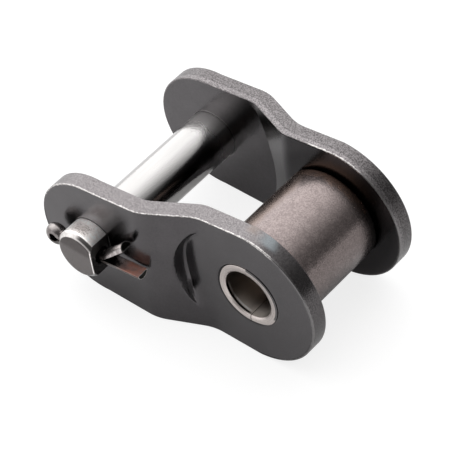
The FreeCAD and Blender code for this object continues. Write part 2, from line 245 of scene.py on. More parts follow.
class Skin:
    """The surface of one piece, gathered patch by patch from grids of points."""

    def __init__(self, name: str, marks: tuple[str, ...] = ()) -> None:
        """Start an empty surface.

        Args:
            name: the piece's name.
            marks: names of the values that its points carry for the finish.
        """
        self.name = name
        self.points: list[np.ndarray] = []
        self.faces: list[np.ndarray] = []
        self.marks: dict[str, list[np.ndarray]] = {mark: [] for mark in marks}
        self.count = 0

    def add(self, grid: np.ndarray, faces: np.ndarray, flip: bool, marks: dict) -> None:
        """Add points with their faces.

        Args:
            grid: the points, in any number of rows.
            faces: numbers of each face's points, counted from the grid's first.
            flip: whether the faces point the other way.
            marks: values of the points for the finish, 0 where they are left out.
        """
        self.faces.append(self.count + (faces[:, ::-1] if flip else faces))
        self.points.append(grid.reshape(-1, 3))
        for mark, kept in self.marks.items():
            kept.append(np.broadcast_to(marks.get(mark, 0.0), grid.shape[:-1]).reshape(-1))
        self.count += len(self.points[-1])

    def patch(
        self, grid: np.ndarray, round_rows: bool = False, round_columns: bool = False,
        flip: bool = False, **marks: "np.ndarray | float",
    ) -> None:
        """Add a grid of points, with a face between each four neighbours.

        Args:
            grid: rows by columns by x, y and z.
            round_rows: whether the last row joins the first.
            round_columns: whether the last column joins the first.
            flip: whether its faces point the other way.
            marks: values of its points for the finish.
        """
        number = np.arange(grid[..., 0].size).reshape(grid.shape[:2])
        if round_rows:
            number = np.vstack([number, number[:1]])
        if round_columns:
            number = np.hstack([number, number[:, :1]])
        sides = [number[:-1, :-1], number[1:, :-1], number[1:, 1:], number[:-1, 1:]]
        self.add(grid, np.stack(sides, -1).reshape(-1, 4), flip, marks)

    def cap(self, ring: np.ndarray, flip: bool, **marks: float) -> None:
        """Close a flat convex ring of points with one face, which carries its own marks."""
        self.add(ring, np.arange(len(ring))[None], flip, marks)

    def piece(self, sharp: float) -> bpy.types.Object:
        """Make the piece, tipped as the link rests.

        Args:
            sharp: edges that turn by more than this many degrees are sharp.

        Returns:
            The object, at the origin.
        """
        points = turned(np.concatenate(self.points), SIZES.taper, 0, 2) * MM
        mesh = bpy.data.meshes.new(self.name)
        mesh.from_pydata(points, [], [face for faces in self.faces for face in faces.tolist()])
        for mark, kept in self.marks.items():
            layer = mesh.attributes.new(mark, "FLOAT", "POINT")
            layer.data.foreach_set("value", np.concatenate(kept).astype(np.float32))
        with opened(mesh) as shape:
            bmesh.ops.remove_doubles(shape, verts=shape.verts, dist=MERGED)
        mesh.shade_smooth()
        mesh.set_sharp_from_angle(angle=math.radians(sharp))
        return linked(self.name, mesh)


class Part(ABC):
    """A piece of the link, which stands for one node of the shared frame."""

    node: str
    slot: str
    body: str = "link"
    sharp: float = 40.0

    @abstractmethod
    def shape(self) -> bpy.types.Object:
        """Make the bare piece."""

    def build(self, material: bpy.types.Material) -> bpy.types.Object:
        """Make the piece, dress it, hang it under its body and hide the node that it stands for.

        Args:
            material: its finish.

        Returns:
            The piece.
        """
        piece = self.shape()
        piece.data.materials.append(material)
        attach(piece, self.body)
        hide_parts(self.node)
        return piece


@dataclass
class Plate(Part):
    """A cranked side plate with its coined leaf and crescent.

    Its points carry a ribbon mark, the distance from the outer face's border: below 0 on the
    outer face, 0 to the thickness across the rim, and above that on the inner face.
    """

    node: str
    side: Side
    slot: str = "plate_steel"
    sharp: float = 65.0
    long_flat: float = 7.4
    short_flat: float = 5.75
    outer_bend: float = 5.5
    inner_bend: float = 3.6
    outer_round: float = 0.1
    inner_round: float = 0.12
    leaf_radius: float = 8.6
    leaf_depth: float = 0.35
    leaf_length: float = 2.5
    leaf_lean: float = math.tan(math.radians(8.0))
    leaf_foot: float = 0.3
    leaf_fade: Span = (1.5, 6.2)
    leaf_softness: float = 0.08
    crescent_radius: float = 9.7
    crescent_softness: float = 0.15
    soft_meeting: float = 0.03
    mouth: float = 0.03
    spacing: float = 0.2
    split: float = -9.0
    plain_rows: int = 32
    crowded_rows: tuple[int, int, int] = (16, 18, 8)
    crowded_reach: Span = (0.86, 0.93)
    edge_rows: int = 6
    land_rows: int = 8
    edge_ribbon: float = 0.15
    hole_ribbon: float = -5.0

    def at(self, x: np.ndarray, level: np.ndarray, z: np.ndarray) -> np.ndarray:
        """Points at a level on this plate's side of the link."""
        return np.stack([x, self.side.value * level, z], -1)

    def inside(self, x: np.ndarray, z: np.ndarray) -> np.ndarray:
        """How far points lie inside the outline, which is two arcs and their tangents.

        Args:
            x: their places along the link.
            z: their places across it.

        Returns:
            Their distances from the outline.
        """
        slope, level = math.sin(SIZES.taper), math.cos(SIZES.taper)
        height = np.abs(z)
        along = -x * level + height * slope
        side = SIZES.bush_end_radius - (x * slope + height * level)
        bush = SIZES.bush_end_radius - np.hypot(x, z)
        pin = SIZES.pin_end_radius - np.hypot(x + SIZES.pitch, z)
        return np.where(along < 0, bush, np.where(along > SIZES.pitch * level, pin, side))

    def outline(self) -> tuple[np.ndarray, np.ndarray]:
        """The outline from the lower tangent point of the bush end, counter-clockwise.

        Returns:
            Its points and its outward directions, each as x and z.
        """
        upper = QUARTER - SIZES.taper
        bush_cells = round(SIZES.bush_end_radius * 2 * upper / self.spacing)
        pin_cells = round(SIZES.pin_end_radius * (TURN - 2 * upper) / self.spacing)
        side_cells = round(SIZES.pitch * math.cos(SIZES.taper) / self.spacing)
        bush = steps((-upper, upper, bush_cells))
        pin = steps((upper, TURN - upper, pin_cells))
        share = np.linspace(0, 1, side_cells + 1)[1:-1]
        sides = np.full_like(share, upper), np.full_like(share, TURN - upper)
        outward = compass(np.concatenate([bush, sides[0], pin, sides[1]]))
        to_pin = np.concatenate([np.zeros_like(bush), share, np.ones_like(pin), 1 - share])
        radius = SIZES.bush_end_radius + to_pin * (SIZES.pin_end_radius - SIZES.bush_end_radius)
        points = outward * radius[:, None]
        points[:, 0] -= to_pin * SIZES.pitch
        return points, outward

    def crank(self, x: np.ndarray, bend: float, knees: Span, levels: Span) -> np.ndarray:
        """Level of a cranked face: flat, an arc, a slope, an arc and flat again.

        Args:
            x: where it is wanted.
            bend: radius of its arcs.
            knees: x of its bend lines, at the pin's end and at the bush's end.
            levels: its levels at the pin's end and at the bush's end.

        Returns:
            The level at each x.
        """
        slope = math.atan2(levels[0] - levels[1], knees[1] - knees[0])
        lead = bend * math.tan(slope / 2)
        run = bend * math.sin(slope)

        def rise(distance: np.ndarray) -> np.ndarray:
            """Departure from the flat at a distance past the start of the arc."""
            arc = bend - np.sqrt(bend ** 2 - np.clip(distance, 0, run) ** 2)
            return arc + np.maximum(distance - run, 0) * math.tan(slope)

        from_pin = levels[0] - rise(x - (knees[0] - lead))
        from_bush = levels[1] + rise(knees[1] + lead - x)
        return np.where(x < sum(knees) / 2, from_pin, from_bush)

    def soft_drop(self, depth: np.ndarray) -> np.ndarray:
        """The depth where it is positive, blended by a parabola into nothing."""
        soft = self.soft_meeting
        return np.where(depth > soft, depth, (np.clip(depth, -soft, soft) + soft) ** 2 / (4 * soft))

    def outer(self, x: np.ndarray, z: np.ndarray) -> np.ndarray:
        """Level of the outer face: the crank, cut down to a dished floor inside the leaf's wall.

        Args:
            x: places along the link.
            z: places across it.

        Returns:
            The level at each place.
        """
        face = self.crank(
            x, self.outer_bend, (self.long_flat - SIZES.pitch, -self.short_flat),
            (SIZES.wide_outer, SIZES.narrow_outer),
        )
        to_wall = 1 - np.clip((x + self.leaf_radius) / self.leaf_length, 0, 1)
        floor = SIZES.narrow_outer - self.leaf_depth * to_wall ** 2
        radius = np.hypot(x, z) - (face - floor).clip(0) * self.leaf_lean
        foot = np.clip(radius - (self.leaf_radius - self.leaf_foot), 0, self.leaf_foot)
        drop = self.soft_drop(face - floor - foot) * (1 - smooth_step(-z, *self.leaf_fade))
        wall, soft = self.leaf_radius, self.leaf_softness
        return face - drop * (1 - smooth_step(radius, wall - soft, wall + soft))

    def inner(self, x: np.ndarray, z: np.ndarray) -> np.ndarray:
        """Level of the inner face: the crank one thickness in, flat inside the crescent's wall.

        Args:
            x: places along the link.
            z: places across it.

        Returns:
            The level at each place.
        """
        ramp = SIZES.pitch - self.long_flat - self.short_flat
        shift = SIZES.plate_thickness * math.tan(math.atan2(SIZES.crank_offset, ramp) / 2)
        face = self.crank(
            x, self.inner_bend,
            (self.long_flat - SIZES.pitch - shift, -self.short_flat - shift),
            (SIZES.wide_inner, SIZES.narrow_inner),
        )
        radius, soft = np.hypot(x + SIZES.pitch, z), self.crescent_softness
        drop = self.soft_drop(SIZES.wide_inner - face)
        wall = self.crescent_radius
        return face + drop * (1 - smooth_step(radius, wall - soft, wall + soft))

    def hole(self, angle: np.ndarray, at_pin: bool, extra: float) -> np.ndarray:
        """Radius of a hole: round, or in the near plate cut off by the flat that keys the pin.

        Args:
            angle: the angles at which it is wanted.
            at_pin: whether it is the pin's hole.
            extra: how much wider it is than it has to be.

        Returns:
            The radius at each angle.
        """
        radius = (SIZES.pin_diameter if at_pin else SIZES.bush_diameter) / 2 + extra
        if not at_pin or self.side is Side.HEAD:
            return np.full_like(angle, radius)
        to_flat = (SIZES.pin_flat + SIZES.pin_clearance + extra) / np.cos(angle).clip(1e-6)
        return np.minimum(radius + SIZES.pin_clearance, to_flat)

    def halves(self, inset: float) -> tuple[np.ndarray, np.ndarray]:
        """Closed borders of a face's bush half and pin half.

        Args:
            inset: how far the borders lie inside the outline.

        Returns:
            The two borders, each counter-clockwise as x and z.
        """
        points, outward = self.outline()
        border = points - inset * outward
        above = points[:, 1] > 0
        distance = np.abs(points[:, 0] - self.split)
        upper = int(np.argmin(np.where(above, distance, np.inf)))
        lower = int(np.argmin(np.where(above, np.inf, distance)))
        cells = round((points[upper, 1] - points[lower, 1]) / self.spacing)
        cut = np.linspace(border[upper], border[lower], cells + 1)[1:-1]
        bush = np.concatenate([border[np.arange(lower - len(border), upper + 1)], cut])
        pin = np.concatenate([border[np.arange(upper, lower + 1)], cut[::-1]])
        return bush, pin

    def mouth_ring(self, at_pin: bool) -> tuple[np.ndarray, np.ndarray]:
        """Directions and radii of a hole's mouth.

        Args:
            at_pin: whether it is the pin's hole.

        Returns:
            The angles and the radii, one for each point of its half's border.
        """
        guide = self.halves(0.0)[at_pin]
        angle = np.arctan2(guide[:, 1], guide[:, 0] + (SIZES.pitch if at_pin else 0.0))
        return angle, self.hole(angle, at_pin, self.mouth)

    def shares(self, start: np.ndarray, reach: np.ndarray, wall: float | None) -> np.ndarray:
        """How far out a face's rows of points lie, from the hole's mouth to the border.

        Args:
            start: radius of the mouth in each direction.
            reach: distance of the border in each direction.
            wall: radius of the coined wall that they cross, where they crowd, if any.

        Returns:
            A share of the way for each row and direction.
        """
        if wall is None:
            return np.linspace(0, 1, self.plain_rows)[:, None]
        before, across, beyond = self.crowded_rows
        low = (wall - 2 * self.leaf_softness - start) / (reach - start)
        high = (wall + 4 * self.leaf_softness - start) / (reach - start)
        low, high = np.minimum(low, self.crowded_reach[0]), np.minimum(high, self.crowded_reach[1])
        return np.concatenate([
            np.linspace(0, low, before, endpoint=False),
            np.linspace(low, high, across, endpoint=False),
            np.linspace(high, 1, beyond),
        ])

    def face(self, skin: Skin, outside: bool) -> None:
        """Add the outer or the inner face: lines from each hole's mouth out to the border.

        Args:
            skin: the surface that it is added to.
            outside: whether it is the outer face.
        """
        inset = self.outer_round if outside else self.inner_round
        level = self.outer if outside else self.inner
        wall = self.leaf_radius if outside else self.crescent_radius
        flip = outside == (self.side is Side.HEAD)
        for at_pin, border in zip((False, True), self.halves(inset)):
            centre = -SIZES.pitch if at_pin else 0.0
            angle, start = self.mouth_ring(at_pin)
            reach = np.hypot(border[:, 0] - centre, border[:, 1])
            share = self.shares(start, reach, None if at_pin == outside else wall)
            x = (1 - share) * (centre + start * np.cos(angle)) + share * border[:, 0]
            z = (1 - share) * start * np.sin(angle) + share * border[:, 1]
            depth = self.inside(x, z) - inset
            ribbon = -depth if outside else SIZES.plate_thickness + depth
            skin.patch(self.at(x, level(x, z), z), round_columns=True, flip=flip, ribbon=ribbon)

    def rim(self, skin: Skin) -> None:
        """Add the blanked edge: a profile with two rounded corners, carried along the outline.

        Args:
            skin: the surface that it is added to.
        """
        points, outward = self.outline()
        outer = self.outer(*(points - self.outer_round * outward).T)
        inner = self.inner(*(points - self.inner_round * outward).T)
        quarter = np.linspace(0, QUARTER, self.edge_rows)[:, None]
        land = np.linspace(0, 1, self.land_rows + 2)[1:-1]
        inset = np.concatenate([
            self.outer_round * (1 - np.sin(quarter)), 0 * land[:, None],
            self.inner_round * (1 - np.sin(quarter[::-1])),
        ])
        level = np.concatenate([
            outer - self.outer_round * (1 - np.cos(quarter)),
            np.linspace(outer - self.outer_round, inner + self.inner_round, len(land) + 2)[1:-1],
            inner + self.inner_round * (1 - np.cos(quarter[::-1])),
        ])
        edge, width = self.edge_ribbon, SIZES.plate_thickness
        ribbon = np.concatenate([
            np.linspace(0, edge, self.edge_rows), edge + land * (width - 2 * edge),
            np.linspace(width - edge, width, self.edge_rows),
        ])
        flat = points - inset[..., None] * outward
        skin.patch(
            self.at(flat[..., 0], level, flat[..., 1]), round_columns=True,
            flip=self.side is Side.HEAD, ribbon=ribbon[:, None],
        )

    def wall(self, skin: Skin, at_pin: bool) -> None:
        """Add the wall of a hole, from its outer mouth to its inner mouth.

        Args:
            skin: the surface that it is added to.
            at_pin: whether it is the pin's hole.
        """
        centre = -SIZES.pitch if at_pin else 0.0
        angle, mouth = self.mouth_ring(at_pin)
        throat = self.hole(angle, at_pin, 0.0)
        place = (centre + mouth * np.cos(angle), mouth * np.sin(angle))
        outer, inner = self.outer(*place), self.inner(*place)
        radius = np.stack([mouth, throat, throat, mouth])
        level = np.stack([outer, outer - self.mouth, inner + self.mouth, inner])
        grid = self.at(centre + radius * np.cos(angle), level, radius * np.sin(angle))
        flip = self.side is Side.COTTER
        skin.patch(grid, round_columns=True, flip=flip, ribbon=self.hole_ribbon)

    def shape(self) -> bpy.types.Object:
        """Make the plate from its faces, its rim and the walls of its holes.

        Returns:
            The bare piece.
        """
        skin = Skin(self.node + "_skin", ("ribbon",))
        self.face(skin, outside=True)
        self.face(skin, outside=False)
        self.rim(skin)
        self.wall(skin, at_pin=False)
        self.wall(skin, at_pin=True)
        return skin.piece(self.sharp)


@dataclass
class Bush(Part):
    """A bush curled from strip, open at a narrow seam."""

    node: str = "bush"
    slot: str = "bush_steel"
    bore: float = 3.0
    end: float = 8.5
    bevel_width: float = 0.21
    bevel_depth: float = 0.16
    edge: float = 0.05
    seam_width: float = 0.1
    columns: int = 220

    def shape(self) -> bpy.types.Object:
        """Make the bush: its closed profile carried from one side of the seam to the other.

        Returns:
            The bare piece.
        """
        outside, end, bore, soft = SIZES.bush_diameter / 2, self.end, self.bore, self.edge
        deep = end - self.bevel_depth
        half = np.concatenate([
            corner(outside - soft, end - soft, soft, 0),
            np.linspace((bore + self.bevel_width, end), (bore, deep), 8),
        ])
        bore_wall = np.linspace((bore, deep), (bore, -deep), 30)[1:-1]
        outer_wall = np.linspace((outside, soft - end), (outside, end - soft), 12)[1:-1]
        profile = np.concatenate([half, bore_wall, half[::-1] * (1, -1), outer_wall])
        gap = self.seam_width / (bore + outside)
        angles = np.linspace(gap - QUARTER, 3 * QUARTER - gap, self.columns)
        skin = Skin(self.node + "_skin")
        skin.patch(turned_profile(profile, angles), round_rows=True)
        for angle, flip in ((angles[:1], True), (angles[-1:], False)):
            skin.cap(turned_profile(profile, angle)[:, 0], flip)
        return skin.piece(self.sharp)


@dataclass
class Roller(Part):
    """A plain roller with rounded outer edges."""

    node: str = "roller"
    slot: str = "roller_steel"
    body: str = "roller"
    diameter: float = 11.6
    clearance: float = 0.05
    end_gap: float = 0.2
    edge: float = 0.4
    bore_edge: float = 0.12
    columns: int = 240

    def shape(self) -> bpy.types.Object:
        """Make the roller: its closed profile turned about the bush.

        Returns:
            The bare piece.
        """
        outside, end = self.diameter / 2, SIZES.narrow_inner - self.end_gap
        bore, land = SIZES.bush_diameter / 2 + self.clearance, end - self.edge
        half = np.concatenate([
            corner(outside - self.edge, land, self.edge, 0, 10),
            corner(bore + self.bore_edge, end - self.bore_edge, self.bore_edge, 1),
        ])
        outer_wall = np.linspace((outside, -land), (outside, land), 30)[1:-1]
        profile = np.concatenate([half, half[::-1] * (1, -1), outer_wall])
        angles = np.arange(self.columns) * TURN / self.columns
        skin = Skin(self.node + "_skin")
        skin.patch(turned_profile(profile, angles), round_rows=True, round_columns=True)
        return skin.piece(self.sharp)


@dataclass
class Pin(Part):
    """The link pin, flatted where it is keyed and drilled for the split pin."""

    node: str = "pin"
    slot: str = "pin_steel"
    sharp: float = 30.0
    bevel: float = 0.45
    bevel_edge: float = 0.06
    flat_end: float = SIZES.pin_clearance - SIZES.wide_inner
    columns: int = 240
    drill_sides: int = 64
    drill_point: float = 0.0001

    def end(self, level: float, facing: int) -> np.ndarray:
        """A bevelled end of the profile, from the axis out to the shank.

        Args:
            level: where the end face lies.
            facing: the sign of the way that it faces.

        Returns:
            Radius and level of its points.
        """
        soft, near = self.bevel_edge, 0.7 * self.bevel_edge
        radius = SIZES.pin_diameter / 2
        cone = radius - self.bevel
        start = (cone + near, level - facing * near)
        stop = (radius - near, level - facing * (self.bevel - near))
        return np.concatenate([
            np.linspace((0.0, level), (cone - soft, level), 12), np.linspace(start, stop, 5),
        ])

    def profile(self) -> np.ndarray:
        """The pin's profile, from the middle of one end to that of the other.

        Returns:
            Radius and level of its points.
        """
        radius, tip, back = SIZES.pin_diameter / 2, -SIZES.pin_tip, SIZES.pin_back
        shank_end = back - self.bevel - self.bevel_edge
        return np.concatenate([
            self.end(tip, -1),
            [(radius, tip + self.bevel + self.bevel_edge)],
            np.linspace((radius, tip + self.bevel + 0.3), (radius, self.flat_end), 20),
            np.linspace((radius, self.flat_end + 0.001), (radius, shank_end), 50),
            self.end(back, 1)[::-1],
        ])

    def drill(self, item: bpy.types.Object) -> None:
        """Cut the split pin's hole and keep the result as the piece's own mesh.

        Args:
            item: the undrilled piece.
        """
        slack = SIZES.pin_diameter / 2 * math.tan(SIZES.split_slew)
        radius = SIZES.split_size / 2 + 2 * SIZES.pin_clearance + slack
        angles = np.arange(self.drill_sides) * TURN / self.drill_sides
        end = SIZES.pin_diameter / 2
        half = np.array([(0.0, -end), (radius, self.drill_point - end)])
        profile = np.concatenate([half, half[::-1] * (1, -1)])
        grid = turned_profile(profile, angles)[..., [1, 0, 2]]
        skin = Skin("split_pin_drill")
        skin.patch(grid - (SIZES.pitch, SIZES.split_level, 0.0), round_columns=True, flip=True)
        drill = skin.piece(self.sharp)
        cut = item.modifiers.new("drilled", "BOOLEAN")
        cut.object = drill
        cut.solver = "EXACT"
        shaped = item.evaluated_get(bpy.context.evaluated_depsgraph_get())
        mesh = bpy.data.meshes.new_from_object(shaped)
        with opened(mesh) as shape:
            bmesh.ops.dissolve_degenerate(shape, dist=MERGED, edges=shape.edges)
        item.modifiers.remove(cut)
        item.data = mesh
        bpy.data.objects.remove(drill)
        mesh.set_sharp_from_angle(angle=math.radians(self.sharp))

    def shape(self) -> bpy.types.Object:
        """Make the pin: its profile turned, then cut by the flat and by the cross hole.

        Returns:
            The bare piece.
        """
        profile = self.profile()
        angles = np.arange(self.columns) * TURN / self.columns
        grid = turned_profile(profile, angles, -SIZES.pitch)
        flatted = profile[:, 1] <= self.flat_end + 1e-6
        limit = np.where(flatted, SIZES.pin_flat, SIZES.pin_diameter) - SIZES.pitch
        grid[..., 0] = np.minimum(grid[..., 0], limit[:, None])
        skin = Skin(self.node + "_skin")
        skin.patch(grid, round_columns=True)
        piece = skin.piece(self.sharp)
        self.drill(piece)
        return piece


@dataclass
class SplitPin(Part):
    """The split pin: half round wire folded at its eye, with one leg turned up.

    Its points carry three marks: the distance along the wire from the straight leg's tip,
    1 on a cropped tip, and the height over the wire's flat side.
    """

    node: str = "cotter_pin"
    slot: str = "split_pin_wire"
    sharp: float = 35.0
    leg_gap: float = 0.06
    eye_bore: float = 1.05
    eye_reach: float = 4.25
    neck_radius: float = 1.0
    bend_start: float = 2.2
    leg_bend_radius: float = 1.6
    leg_bend_angle: float = math.radians(41.0)
    bent_leg: float = 3.7
    edge: float = 0.07
    edge_angle: float = 0.09
    arris: float = 0.18

    def route(self) -> tuple[np.ndarray, np.ndarray]:
        """The flat side of the wire: lines and arcs from the straight leg's tip to the bent one's.

        Returns:
            Its points and the directions of the rounded side, each as x and z.
        """
        gap, neck, eye = self.leg_gap / 2, self.neck_radius, self.eye_bore / 2
        swing = math.asin((gap + neck) / (eye + neck))
        neck_x = (eye + neck) * math.cos(swing) - self.eye_reach
        bend, turn = self.leg_bend_radius, self.leg_bend_angle

        def run(start: Span, end: Span, cells: int) -> tuple[np.ndarray, np.ndarray]:
            """A straight run, whose rounded side is on its left."""
            along = np.subtract(end, start) / math.dist(start, end)
            return np.linspace(start, end, cells), np.tile((-along[1], along[0]), (cells, 1))

        def arc(
            centre: Span, radius: float, first: float, last: float, cells: int,
        ) -> tuple[np.ndarray, np.ndarray]:
            """An arc, whose rounded side is towards its centre if it turns left."""
            outward = compass(np.linspace(first, last, cells))
            return centre + radius * outward, outward * (-1 if last > first else 1)

        bend_end = (self.bend_start + bend * math.sin(turn), gap + bend * (1 - math.cos(turn)))
        leg = (self.bent_leg * math.cos(turn), self.bent_leg * math.sin(turn))
        tip = (bend_end[0] + leg[0], bend_end[1] + leg[1])
        parts = [
            run((SIZES.long_leg, -gap), (neck_x, -gap), 40),
            arc((neck_x, -gap - neck), neck, QUARTER, 2 * QUARTER - swing, 14),
            arc((-self.eye_reach, 0), eye, -swing, swing - TURN, 64),
            arc((neck_x, gap + neck), neck, 2 * QUARTER + swing, 3 * QUARTER, 14),
            run((neck_x, gap), (self.bend_start, gap), 24),
            arc((self.bend_start, gap + bend), bend, 3 * QUARTER, 3 * QUARTER + turn, 14),
            run(bend_end, tip, 16),
        ]
        points, bows = zip(parts[0], *((points[1:], bows[1:]) for points, bows in parts[1:]))
        return np.concatenate(points), np.concatenate(bows)

    def section(self) -> np.ndarray:
        """Half a circle with slightly rounded corners.

        Returns:
            Its points, across the wire and towards its bow.
        """
        radius = SIZES.split_size / 2
        bow = radius * compass(np.linspace(self.edge_angle, TURN / 2 - self.edge_angle, 26))
        flat = np.linspace((self.edge - radius, 0.0), (radius - self.edge, 0.0), 8)
        return np.concatenate([bow, flat])

    def shape(self) -> bpy.types.Object:
        """Make the split pin: its section carried along the route, with both tips closed.

        Returns:
            The bare piece.
        """
        points, bows = self.route()
        across, bow = self.section().T
        grid = np.stack([
            points[:, :1] + bows[:, :1] * bow,
            np.tile(across, (len(points), 1)),
            points[:, 1:] + bows[:, 1:] * bow,
        ], -1)
        grid = turned(grid, SIZES.split_slew, 0, 1) + (-SIZES.pitch, -SIZES.split_level, 0.0)
        tips = grid[[0, -1]]
        middles = tips.mean(1, keepdims=True)
        first, last = middles + (1 - self.arris) * (tips - middles)
        grid = np.concatenate([first[None], grid, last[None]])
        length = np.cumsum(np.hypot(*np.diff(points, axis=0).T))
        along = np.concatenate([[0.0, 0.0], length, length[-1:]])[:, None]
        cropped = np.zeros_like(along)
        cropped[[0, -1]] = 1.0
        skin = Skin(self.node + "_skin", ("along", "cropped", "bowed"))
        marks = {"along": along, "cropped": cropped, "bowed": bow[None]}
        skin.patch(grid, round_columns=True, flip=True, **marks)
        skin.cap(first, flip=True, along=0.0, cropped=1.0)
        skin.cap(last, flip=False, along=float(length[-1]), cropped=1.0)
        return skin.piece(self.sharp)


def operator(operation: str) -> "Callable[[Signal, Signal | float], Signal]":
    """A method that adds a Math node on a signal and another value."""
    return lambda signal, other: signal.shader.math(operation, signal, other)


class Signal:
    """A shader value on which Python operators add Math nodes."""

    def __init__(self, shader: "Shader", socket: bpy.types.NodeSocket) -> None:
        """Keep the socket and the shader that it belongs to."""
        self.shader = shader
        self.socket = socket

    def __rsub__(self, other: float) -> "Signal":
        """A number less this value."""
        return self.shader.math("SUBTRACT", other, self)

    __add__ = __radd__ = operator("ADD")
    __mul__ = __rmul__ = operator("MULTIPLY")
    __sub__ = operator("SUBTRACT")

    def size(self) -> "Signal":
        """The value without its sign."""
        return self.shader.math("ABSOLUTE", self)

    def ramp(self, start: float, end: float) -> "Signal":
        """A smooth step from 0 at start to 1 at end, which may lie either way round.

        Args:
            start: where it leaves 0.
            end: where it reaches 1.

        Returns:
            The step.
        """
        step = self.shader.one(
            "ShaderNodeMapRange", "Result", {"interpolation_type": "SMOOTHSTEP"},
            {"Value": self, "From Min": min(start, end), "From Max": max(start, end)},
        )
        return step if start < end else 1 - step

    def near(self, centre: float, reach: float, core: float) -> "Signal":
        """1 within the core distance of a centre, falling to 0 at the reach."""
        return (self - centre).size().ramp(reach, core)

    def between(self, start: float, full: float, fading: float, end: float) -> "Signal":
        """A plateau that rises from start to full and falls from fading to end."""
        return self.ramp(start, full) * self.ramp(end, fading)


class Shader:
    """A node tree, built through a few methods."""

    def __init__(self, owner: bpy.types.Material | bpy.types.World) -> None:
        """Keep the tree of a material or of the world."""
        owner.use_nodes = True
        self.owner = owner
        self.tree = owner.node_tree

    @classmethod
    def new(cls, name: str) -> "Shader":
        """The tree of a new material."""
        return cls(bpy.data.materials.new(name))

    def node(self, kind: str, settings: dict, inputs: dict) -> bpy.types.Node:
        """Add a node.

        Args:
            kind: the node's type.
            settings: properties that are set before its sockets.
            inputs: values, colours or signals by socket name or number.

        Returns:
            The new node.
        """
        node = self.tree.nodes.new(kind)
        for key, value in settings.items():
            setattr(node, key, value)
        for key, value in inputs.items():
            self.feed(node.inputs[key], value)
        return node

    def one(self, kind: str, output: str | int, settings: dict, inputs: dict) -> Signal:
        """Add a node and return one of its outputs as a signal."""
        return Signal(self, self.node(kind, settings, inputs).outputs[output])

    def feed(self, socket: bpy.types.NodeSocket, value: "Signal | float | Colour") -> None:
        """Link a signal to a socket, or set the socket's own value.

        Args:
            socket: the input.
            value: what goes into it.
        """
        if isinstance(value, Signal):
            self.tree.links.new(value.socket, socket)
        elif socket.type == "RGBA":
            socket.default_value = (*value, 1.0)
        else:
            socket.default_value = value

    def math(self, operation: str, *values: "Signal | float") -> Signal:
        """A Math node on values and signals."""
        return self.one("ShaderNodeMath", 0, {"operation": operation}, dict(enumerate(values)))

    def mix(
        self, factor: "Signal | float", low: "Signal | Colour", high: "Signal | Colour",
    ) -> Signal:
        """A colour between two colours."""
        return self.one("ShaderNodeMix", 2, {"data_type": "RGBA"}, {0: factor, 6: low, 7: high})

    def layered(self, base: Signal, *layers: "tuple[Signal, Signal | Colour]") -> Signal:
        """Lay colours over a base.

        Args:
            base: the colour at the bottom.
            layers: how far each layer covers what is under it, and its colour.

        Returns:
            The colour on top.
        """
        for cover, colour in layers:
            base = self.mix(cover, base, colour)
        return base

    def scaled(self, colour: "Signal | Colour", factor: Signal) -> Signal:
        """A colour times a number."""
        settings = {"operation": "SCALE"}
        return self.one("ShaderNodeVectorMath", 0, settings, {0: colour, "Scale": factor})

    def mark(self, name: str) -> Signal:
        """A value that the piece's points carry."""
        return self.one("ShaderNodeAttribute", "Fac", {"attribute_name": name}, {})

    def place(self) -> Signal:
        """Object coordinates."""
        return self.one("ShaderNodeTexCoord", "Object", {}, {})

    def millimetres(self) -> list[Signal]:
        """The three object coordinates in millimetres."""
        split = self.node("ShaderNodeSeparateXYZ", {}, {0: self.place()})
        return [Signal(self, output) * (1 / MM) for output in split.outputs]

    def radius(self, x: Signal, z: Signal) -> Signal:
        """Distance from the bush's axis."""
        return self.math("SQRT", x * x + z * z)

    def grain(self, scale: float, detail: float = 3.0, stretch: Vector = (1.0, 1.0, 1.0)) -> Signal:
        """Noise between 0 and 1.

        Args:
            scale: grains per metre.
            detail: how many finer layers it has.
            stretch: factors on the three object coordinates.

        Returns:
            The noise as a signal.
        """
        settings = {"operation": "MULTIPLY"}
        where = self.one("ShaderNodeVectorMath", 0, settings, {0: self.place(), 1: stretch})
        inputs = {"Vector": where, "Scale": scale, "Detail": detail}
        return self.one("ShaderNodeTexNoise", 0, {}, inputs)

    def bump(self, height: Signal, depth: float) -> Signal:
        """A normal from a height signal, whose full height is a depth in millimetres."""
        return self.one("ShaderNodeBump", 0, {}, {"Height": height, "Distance": depth * MM})

    def finish(self, **sockets: "Signal | float | Colour") -> bpy.types.Material:
        """Feed the Principled shader.

        Args:
            sockets: its inputs, named with underscores.

        Returns:
            The material.
        """
        principled = self.tree.nodes["Principled BSDF"]
        for name, value in sockets.items():
            self.feed(principled.inputs[name.replace("_", " ")], value)
        return self.owner


